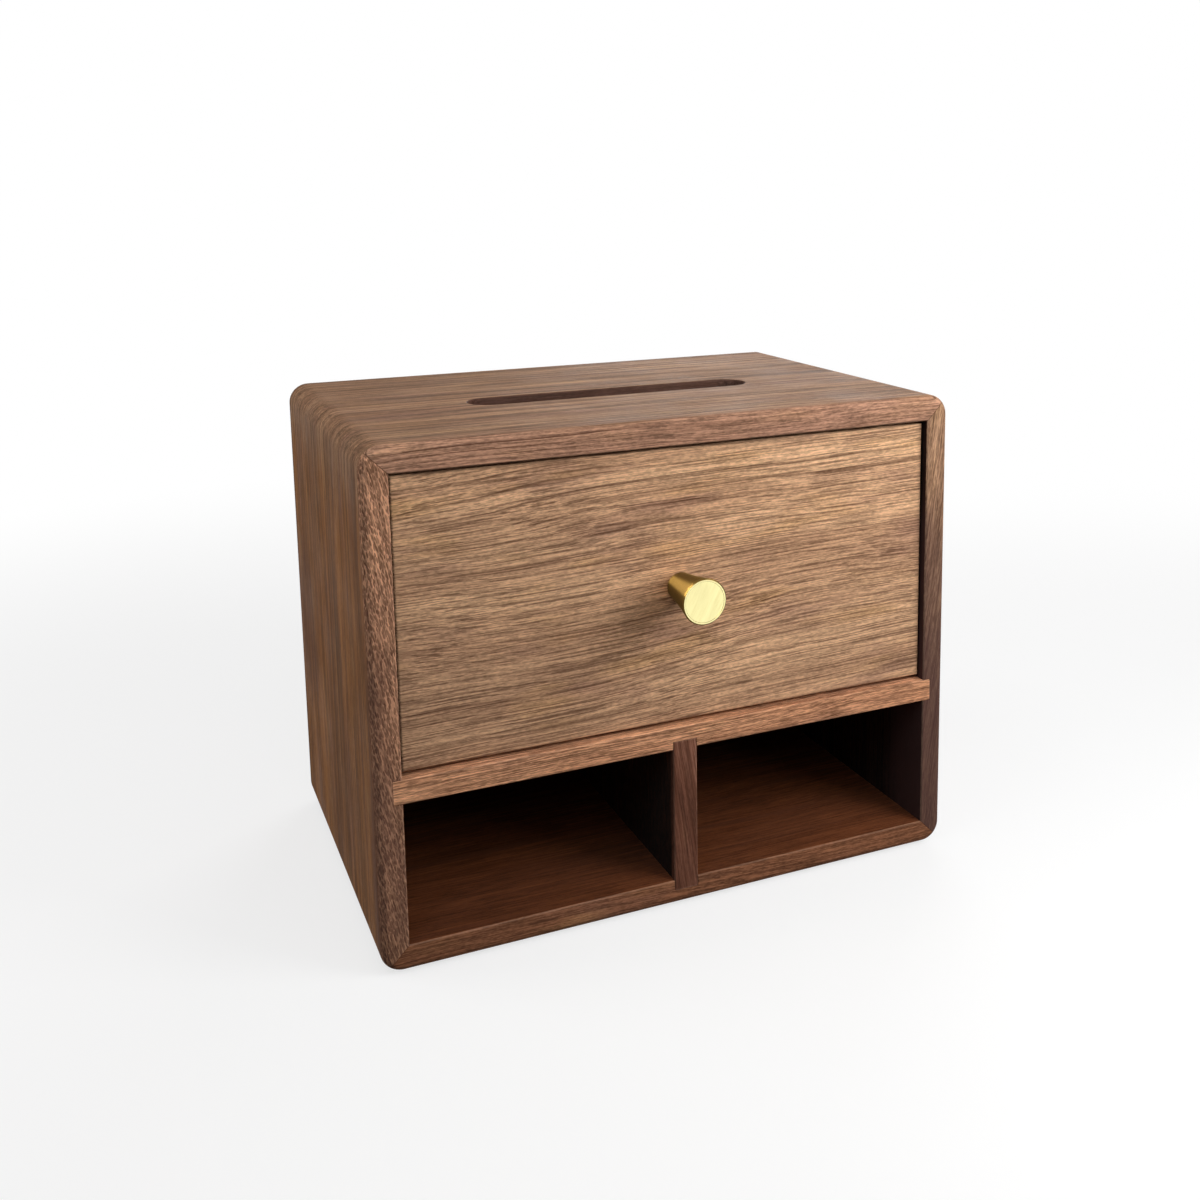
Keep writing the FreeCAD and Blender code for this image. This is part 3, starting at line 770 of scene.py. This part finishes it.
def steel(name, tone):
    """Zinc-plated steel with faint turning marks."""
    smudged, smudge_tint = (0.42, 0.43, 0.46), 0.35
    smoothest, stroke_swing = 0.24, 0.12
    material, tree, shader, position = new_material(name)
    marks = smudges(tree, position)
    strokes = use(tree, brushed_metal(), {"Position": position})["Strokes"]
    base = mixed(tree, times(tree, marks, smudge_tint), tone, smudged)
    sheen = maths(tree, "MULTIPLY_ADD", strokes, stroke_swing, smoothest)
    fill(tree, shader, {"Base Color": base, "Metallic": 1.0, "Roughness": sheen})
    return material


def rubber(name, tone):
    """Matt rubber with a fine moulded grain and a little dust."""
    dusty, dust_tint = (0.09, 0.08, 0.07), 0.25
    grain_per_metre = (2600, 2600, 2600)
    smoothest, grain_swing, gloss = 0.62, 0.2, 0.3
    material, tree, shader, position = new_material(name)
    grain = noise(tree, position, grain_per_metre)
    marks = smudges(tree, position)
    base = mixed(tree, times(tree, marks, dust_tint), tone, dusty)
    sheen = maths(tree, "MULTIPLY_ADD", grain, grain_swing, smoothest)
    fill(tree, shader, {"Base Color": base, "Roughness": sheen,
                        "Normal": bumps(tree, grain, RUBBER_RELIEF, RUBBER_STRENGTH),
                        "Specular IOR Level": gloss})
    return material


def give(node, material):
    for slot in NODES[node].material_slots:
        slot.material = material


# ---------------------------------------------------------------------------------- turned shapes
def arc(across, along, radius, first, last, steps):
    """Points of a round stretch in a profile, from one angle to another in degrees."""
    turn = [math.radians(first + (last - first) * step / steps) for step in range(steps + 1)]
    return [(across + radius * math.cos(angle), along + radius * math.sin(angle)) for angle in turn]


def spun(profile, centre, axis, out, steps):
    """A closed mesh turned about an axis from (radius, distance along the axis) points."""
    shape = bmesh.new()
    centre, axis, out = Vector(centre), Vector(axis), Vector(out)
    points = [shape.verts.new(centre + out * radius + axis * along) for radius, along in profile]
    edges = [shape.edges.new(pair) for pair in zip(points, points[1:])]
    bmesh.ops.spin(shape, geom=points + edges, cent=centre, axis=axis, dvec=(0, 0, 0),
                   angle=math.tau, steps=steps, use_merge=True, use_duplicate=False)
    bmesh.ops.remove_doubles(shape, verts=shape.verts, dist=1e-6)
    bmesh.ops.recalc_face_normals(shape, faces=shape.faces)
    return shape


def finished(name, shape, body, materials, nodes, sharp_from=30):
    """Makes the piece from its bmesh and has it stand for its CAD nodes."""
    mesh = bpy.data.meshes.new(name)
    shape.to_mesh(mesh)
    shape.free()
    mesh.polygons.foreach_set("use_smooth", [True] * len(mesh.polygons))
    mesh.set_sharp_from_angle(angle=math.radians(sharp_from))
    for material in materials:
        mesh.materials.append(material)
    piece = bpy.data.objects.new(name, mesh)
    bpy.context.scene.collection.objects.link(piece)
    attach(piece, body)
    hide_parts(*nodes)
    return piece


# --------------------------------------------------------------------------------------- operators
class FinishCase(bpy.types.Operator):
    """Gives the four mitred boards of the case one run of walnut and the splines a hard wood."""
    bl_idname = "tissue_box.finish_case"
    bl_label = "Finish the case"

    def execute(self, context):
        left, right, low, high = CASE_LOW.x, CASE_HIGH.x, CASE_LOW.z, CASE_HIGH.z
        width, height = right - left, high - low
        runs = {
            "case_top": dict(scale=(1, 1, -1), start=(-left, 0, high)),
            "case_left_side": dict(scale=(-1, 1, 1), turn=90, start=(-high, 0, -left)),
            "case_right_side": dict(scale=(1, 1, -1), turn=90, start=(width + high, 0, right)),
            "case_bottom": dict(scale=(-1, 1, 1), start=(width + height + right, 0, -low)),
        }
        # The inner tones floor, bay and slot are painted shade.
        woods = {
            "case_top": dict(wood=("top", "calm"), edge=("rail", "veined"), inner=("slot", "plain")),
            "case_left_side": dict(wood=("side", "calm"), edge=("stile", "porous"), inner=("bay", "plain"),
                                   crown="top", edge_slant=-12, edge_pores=1.0, dark_patches=LEFT_HEARTS),
            "case_right_side": dict(wood=("side", "streaked"), edge=("post", "flecked"),
                                    inner=("bay", "plain"), crown="top", edge_slant=9,
                                    dark_patches=RIGHT_HEARTS),
            "case_bottom": dict(wood=("base", "streaked"), edge=("base", "veined"),
                                inner=("floor", "plain")),
        }
        for node, grain in runs.items():
            give(node, walnut("walnut_" + node, node, grain, mitred=True, **woods[node]))
        spline = walnut("spline_wood", "mitre_spline_top_left", {}, ("front", "plain"))
        for corner in CORNERS:
            give("mitre_spline_" + corner, spline)
        return {"FINISHED"}


class FinishInnerBoards(bpy.types.Operator):
    """Gives the shelf, the divider and the back panel their walnut."""
    bl_idname = "tissue_box.finish_inner_boards"
    bl_label = "Finish the shelf, divider and back"

    def execute(self, context):
        # Painted shade: the faces inside the box take the nearly black bay tones.
        inside = ("bay", "plain")
        give("shelf", walnut("walnut_shelf", "shelf", dict(start=(0.4, 0.2, 0.1)), ("shelf", "flecked"),
                             edge=("shelf", "flecked"), edge_depth=SHELF_EDGE_DEPTH, inner=inside))
        give("divider", walnut("walnut_divider", "divider", dict(turn=98, start=(0.7, 0.3, 0.5)),
                               ("divider", "streaked"), edge=("divider", "streaked"), inner=inside))
        give("back_panel", walnut("walnut_back_panel", "back_panel", dict(start=(0.9, 0.1, 0.3)),
                                  ("side", "streaked"), inner=inside))
        return {"FINISHED"}


class FinishDrawer(bpy.types.Operator):
    """Gives the drawer front and the drawer's dovetailed box their walnut."""
    bl_idname = "tissue_box.finish_drawer"
    bl_label = "Finish the drawer"

    def execute(self, context):
        grain = dict(turn=2.0, start=(1.3, 0.6, 0.2))
        # Painted shade: the drawer front is darkened at its left and lower right.
        give("drawer_front", walnut("walnut_drawer_front", "drawer_front", grain, ("front", "lively"),
                                    dark_patches=FRONT_PAINTED_SHADE))
        for place, node in enumerate(("drawer_left_side", "drawer_right_side")):
            grain = dict(tilt=90, start=(0.3 * place, 0.8, 0.6))
            give(node, walnut("walnut_" + node, node, grain, ("drawer", "calm")))
        for place, node in enumerate(("drawer_back", "drawer_bottom")):
            grain = dict(start=(1.9, 0.4 * place, 0.9))
            give(node, walnut("walnut_" + node, node, grain, ("drawer", "calm")))
        return {"FINISHED"}


class MakeKnob(bpy.types.Operator):
    """Turns the brass knob: a cone with a chamfered rim and a brushed face."""
    bl_idname = "tissue_box.make_knob"
    bl_label = "Make the knob"

    def execute(self, context):
        size = context.scene.tissue_box_knob
        reach = KNOB_HIGH.y - KNOB_LOW.y
        face_radius = (KNOB_HIGH.x - KNOB_LOW.x) / 2
        chamfer, land, step = size.rim_chamfer, size.rim_land, size.rim_step
        stem = []
        for stretch in range(STEM_STEPS + 1):
            part = stretch / STEM_STEPS
            along = size.base_round + (reach - chamfer - size.base_round) * part
            radius = size.base_radius + (face_radius - size.base_radius) * part
            stem.append((radius - size.waist * math.sin(math.pi * part), along))
        rim = face_radius - chamfer
        bore, depth = size.bore_radius, size.bore_depth
        profile = [(0, depth), (bore, depth - bore / 2), (bore, 0),
                   (size.base_radius - size.base_round, 0), *stem, (rim, reach), (rim - land, reach),
                   (rim - land - step, reach - step), (0, reach - step)]
        centre = ((KNOB_LOW.x + KNOB_HIGH.x) / 2, KNOB_HIGH.y, (KNOB_LOW.z + KNOB_HIGH.z) / 2)
        shape = spun(profile, centre, (0, -1, 0), (1, 0, 0), size.steps)
        faces_front, behind_face = -0.9, KNOB_LOW.y + 2 * step
        for face in shape.faces:
            on_face = face.normal.y < faces_front and face.calc_center_median().y < behind_face
            face.material_index = 1 if on_face else 0
        lathe_marks = dict(scale=(0.04, 1, 0.04))
        brush_marks = dict(rotation=(0, math.radians(46), 0), scale=(1.5, 1, 0.8))
        # Painted shade: the stem gets the dark brass.
        brasses = [brass("brass_stem", size.stem_shaded_colour, size.stem_shaded_marks, lathe_marks, roughness=0.36,
                         relief=STEM_RELIEF, drawn=1.0),
                   brass("brass_face", size.face_colour, size.face_marks, brush_marks, roughness=0.34,
                         relief=FACE_RELIEF)]
        finished("brass_knob", shape, "drawer", brasses, ["knob"], sharp_from=20)
        return {"FINISHED"}


class MakeScrew(bpy.types.Operator):
    """Makes the knob's pan-head screw, with a plain shank and a cross recess."""
    bl_idname = "tissue_box.make_screw"
    bl_label = "Make the screw"

    def execute(self, context):
        size = context.scene.tissue_box_fittings
        centre = Vector(((SCREW_LOW.x + SCREW_HIGH.x) / 2, SCREW_LOW.y, (SCREW_LOW.z + SCREW_HIGH.z) / 2))
        total = SCREW_HIGH.y - SCREW_LOW.y
        under_head = total - size.head_height
        core = size.screw_radius - size.thread_depth
        crown = arc(0, total - size.crown_radius, size.crown_radius, 60, 90, CROWN_STEPS)
        shoulder = crown[0][1] - size.head_slope
        profile = [(0, 0), (core - size.tip_ease, 0), (core, size.tip_ease), (core, under_head),
                   (size.head_radius - size.head_ease, under_head),
                   (size.head_radius, under_head + size.head_ease), (size.head_radius, shoulder), *crown]
        shape = spun(profile, centre, (0, 1, 0), (1, 0, 0), FASTENER_STEPS)
        recess = bmesh.new()
        for across in (Vector((size.recess_reach, 0, size.recess_width / 2)),
                       Vector((size.recess_width / 2, 0, size.recess_reach))):
            arm = bmesh.ops.create_cube(recess, size=2)["verts"]
            bmesh.ops.scale(recess, verts=arm, vec=(across.x, size.recess_depth, across.z))
            bmesh.ops.translate(recess, verts=arm, vec=centre + Vector((0, total, 0)))
        finish = steel("zinc_steel", size.steel)
        screw = finished("knob_machine_screw", shape, "drawer", [finish], ["knob_screw"])
        cut_away(screw, recess)
        return {"FINISHED"}


def cut_away(piece, tool_shape):
    """Cuts a bmesh out of a piece and keeps the result as the piece's mesh."""
    mesh = bpy.data.meshes.new("cutter")
    tool_shape.to_mesh(mesh)
    tool_shape.free()
    tool = bpy.data.objects.new("cutter", mesh)
    bpy.context.scene.collection.objects.link(tool)
    modifier = piece.modifiers.new("cut", "BOOLEAN")
    modifier.object = tool
    modifier.operation = "DIFFERENCE"
    modifier.solver = "EXACT"
    modifier.use_self = True
    bpy.context.view_layer.update()
    evaluated = piece.evaluated_get(bpy.context.evaluated_depsgraph_get())
    result = bpy.data.meshes.new_from_object(evaluated)
    piece.modifiers.clear()
    piece.data = result
    bpy.data.objects.remove(tool)
    bpy.data.meshes.remove(mesh)


class MakeWasher(bpy.types.Operator):
    """Makes the plain washer under the screw's head."""
    bl_idname = "tissue_box.make_washer"
    bl_label = "Make the washer"

    def execute(self, context):
        size = context.scene.tissue_box_fittings
        centre = ((WASHER_LOW.x + WASHER_HIGH.x) / 2, WASHER_LOW.y, (WASHER_LOW.z + WASHER_HIGH.z) / 2)
        radius, thick = (WASHER_HIGH.x - WASHER_LOW.x) / 2, WASHER_HIGH.y - WASHER_LOW.y
        ease, bore = size.washer_ease, size.washer_bore
        ring = [(bore, thick), (bore, 0), *arc(radius - ease, ease, ease, -90, 0, EASE_STEPS),
                *arc(radius - ease, thick - ease, ease, 0, 90, EASE_STEPS), (bore, thick)]
        shape = spun(ring, centre, (0, 1, 0), (1, 0, 0), FASTENER_STEPS)
        finish = steel("zinc_steel", size.steel)
        finished("knob_plain_washer", shape, "drawer", [finish], ["knob_washer"])
        return {"FINISHED"}


class MakePads(bpy.types.Operator):
    """Makes the four round rubber pads that the box stands on."""
    bl_idname = "tissue_box.make_pads"
    bl_label = "Make the foot pads"

    def execute(self, context):
        size = context.scene.tissue_box_fittings
        finish = rubber("foot_rubber", size.rubber)
        for node in PAD_NODES:
            low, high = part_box(node)
            radius, thick, ease = (high.x - low.x) / 2, high.z - low.z, size.pad_round
            dimple = radius * size.dimple_share
            profile = [(0, size.dimple_depth), (dimple, size.dimple_depth), (dimple + size.dimple_slope, 0),
                       *arc(radius - ease, ease, ease, -90, 0, PAD_ROUND_STEPS), (radius, thick), (0, thick)]
            centre = ((low.x + high.x) / 2, (low.y + high.y) / 2, low.z)
            shape = spun(profile, centre, (0, 0, 1), (1, 0, 0), PAD_STEPS)
            finished("rubber_" + node, shape, "case", [finish], [node])
        return {"FINISHED"}


class MakeStudio(bpy.types.Operator):
    """Sets up the floor, the soft lights, the white surroundings and the camera."""
    bl_idname = "tissue_box.make_studio"
    bl_label = "Make the studio"

    def execute(self, context):
        studio = context.scene.tissue_box_studio
        scene = context.scene
        scene.view_settings.view_transform = "Standard"
        lay_floor(studio.floor)
        white_surroundings(studio.sky)
        for name, lamp in LAMPS.items():
            soft_light(name + "_light", power=getattr(studio, name + "_power"), **lamp)
        strip = soft_light("strip_light", power=studio.strip_power, **STRIP_LAMP)
        strip.visible_diffuse = False
        scene.camera = aimed_camera(studio)
        return {"FINISHED"}


def aimed_camera(studio):
    """The camera, turned about the box and set back from the point that it is aimed at."""
    data = bpy.data.cameras.new("camera")
    data.sensor_fit = "HORIZONTAL"
    data.sensor_width = SENSOR_WIDTH
    data.lens = studio.lens
    data.shift_x, data.shift_y = studio.shift
    camera = bpy.data.objects.new("camera", data)
    turn = (Matrix.Rotation(studio.azimuth, 4, "Z")
            @ Matrix.Rotation(math.pi / 2 - studio.elevation, 4, "X")
            @ Matrix.Rotation(studio.roll, 4, "Z"))
    place = Vector(studio.aim) + turn.to_3x3() @ Vector((0, 0, studio.distance))
    camera.matrix_world = Matrix.Translation(place) @ turn
    bpy.context.scene.collection.objects.link(camera)
    return camera


def soft_light(name, place, size, power, aim=LAMP_AIM):
    """A rectangular lamp, so wide and so high, aimed at a point and not seen by the camera."""
    data = bpy.data.lights.new(name, "AREA")
    data.shape = "RECTANGLE"
    data.size, data.size_y = size
    data.energy = power
    lamp = bpy.data.objects.new(name, data)
    lamp.location = place
    lamp.visible_camera = False
    lamp.rotation_euler = (Vector(aim) - Vector(place)).to_track_quat("-Z", "Y").to_euler()
    bpy.context.scene.collection.objects.link(lamp)
    return lamp


def seen_directly(tree):
    """1 for rays that show the surroundings: to the camera, in a gloss and through glass."""
    path = tree.nodes.new("ShaderNodeLightPath").outputs
    seen = maths(tree, "MAXIMUM", path["Is Camera Ray"], path["Is Glossy Ray"])
    return maths(tree, "MAXIMUM", seen, path["Is Transmission Ray"])


def white_surroundings(sky):
    """A world that shows as white and lights the box evenly."""
    world = bpy.data.worlds.new("studio")
    bpy.context.scene.world = world
    world.use_nodes = True
    tree = world.node_tree
    tree.nodes.clear()
    strength = add(tree, "ShaderNodeMapRange", {"Value": seen_directly(tree), "To Min": sky, "To Max": 1.0})
    back = add(tree, "ShaderNodeBackground", {"Color": (1, 1, 1), "Strength": strength.outputs[0]})
    output = tree.nodes.new("ShaderNodeOutputWorld")
    tree.links.new(back.outputs[0], output.inputs["Surface"])


def lay_floor(tone):
    """A wide square floor round the box's foot."""
    shape = bmesh.new()
    bmesh.ops.create_grid(shape, x_segments=1, y_segments=1, size=FLOOR_SIZE)
    mesh = bpy.data.meshes.new("floor")
    shape.to_mesh(mesh)
    shape.free()
    mesh.materials.append(floor_material(tone))
    floor = bpy.data.objects.new("floor", mesh)
    bpy.context.scene.collection.objects.link(floor)


def floor_material(tone):
    """A pale floor that shows as white and keeps the box's shadow."""
    seen_tone, dusty, dust_tint = (0.94, 0.94, 0.94), (0.5, 0.5, 0.5), 0.05
    dust_per_metre, matt = (12, 12, 12), 0.9
    shadow_ends, least_white = (0.35, 0.9), 0.70
    material, tree, shader, position = new_material("pale_floor")
    dust = noise(tree, position, dust_per_metre, 3.0)
    seen = seen_directly(tree)
    base = mixed(tree, times(tree, dust, dust_tint), tone, dusty)
    base = mixed(tree, seen, base, seen_tone)
    fill(tree, shader, {"Base Color": base, "Roughness": matt, "Specular IOR Level": 0.0})
    far = between(tree, magnitude(tree, position), *shadow_ends)
    glow = add(tree, "ShaderNodeEmission", {"Color": (1, 1, 1), "Strength": 1.0})
    amount = times(tree, maths(tree, "MULTIPLY_ADD", far, 1 - least_white, least_white), seen)
    blend = add(tree, "ShaderNodeMixShader", {0: amount, 1: shader.outputs[0], 2: glow.outputs[0]})
    output = next(node for node in tree.nodes if node.type == "OUTPUT_MATERIAL")
    tree.links.new(blend.outputs[0], output.inputs["Surface"])
    return material


STEPS = (FinishCase, FinishInnerBoards, FinishDrawer, MakeKnob, MakeScrew, MakeWasher, MakePads,
         MakeStudio)


class TissueBoxPanel(bpy.types.Panel):
    """Lists the steps that finish the tissue box."""
    bl_idname = "VIEW3D_PT_tissue_box"
    bl_label = "Tissue Box"
    bl_space_type = "VIEW_3D"
    bl_region_type = "UI"
    bl_category = "Tissue Box"

    def draw(self, context):
        for step in STEPS:
            self.layout.operator(step.bl_idname)


CLASSES = (*GROUPS, *STEPS, TissueBoxPanel)


def register():
    for cls in CLASSES:
        bpy.utils.register_class(cls)
    scene = bpy.types.Scene
    scene.tissue_box_woods = PointerProperty(type=TissueBoxWoods)
    scene.tissue_box_knob = PointerProperty(type=TissueBoxKnob)
    scene.tissue_box_fittings = PointerProperty(type=TissueBoxFittings)
    scene.tissue_box_studio = PointerProperty(type=TissueBoxStudio)


def unregister():
    for setting in ("woods", "knob", "fittings", "studio"):
        delattr(bpy.types.Scene, "tissue_box_" + setting)
    for cls in reversed(CLASSES):
        bpy.utils.unregister_class(cls)


def main():
    """Registers the add-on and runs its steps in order."""
    register()
    for step in STEPS:
        group, name = step.bl_idname.split(".")
        getattr(getattr(bpy.ops, group), name)()


if __name__ == "__main__":
    main()
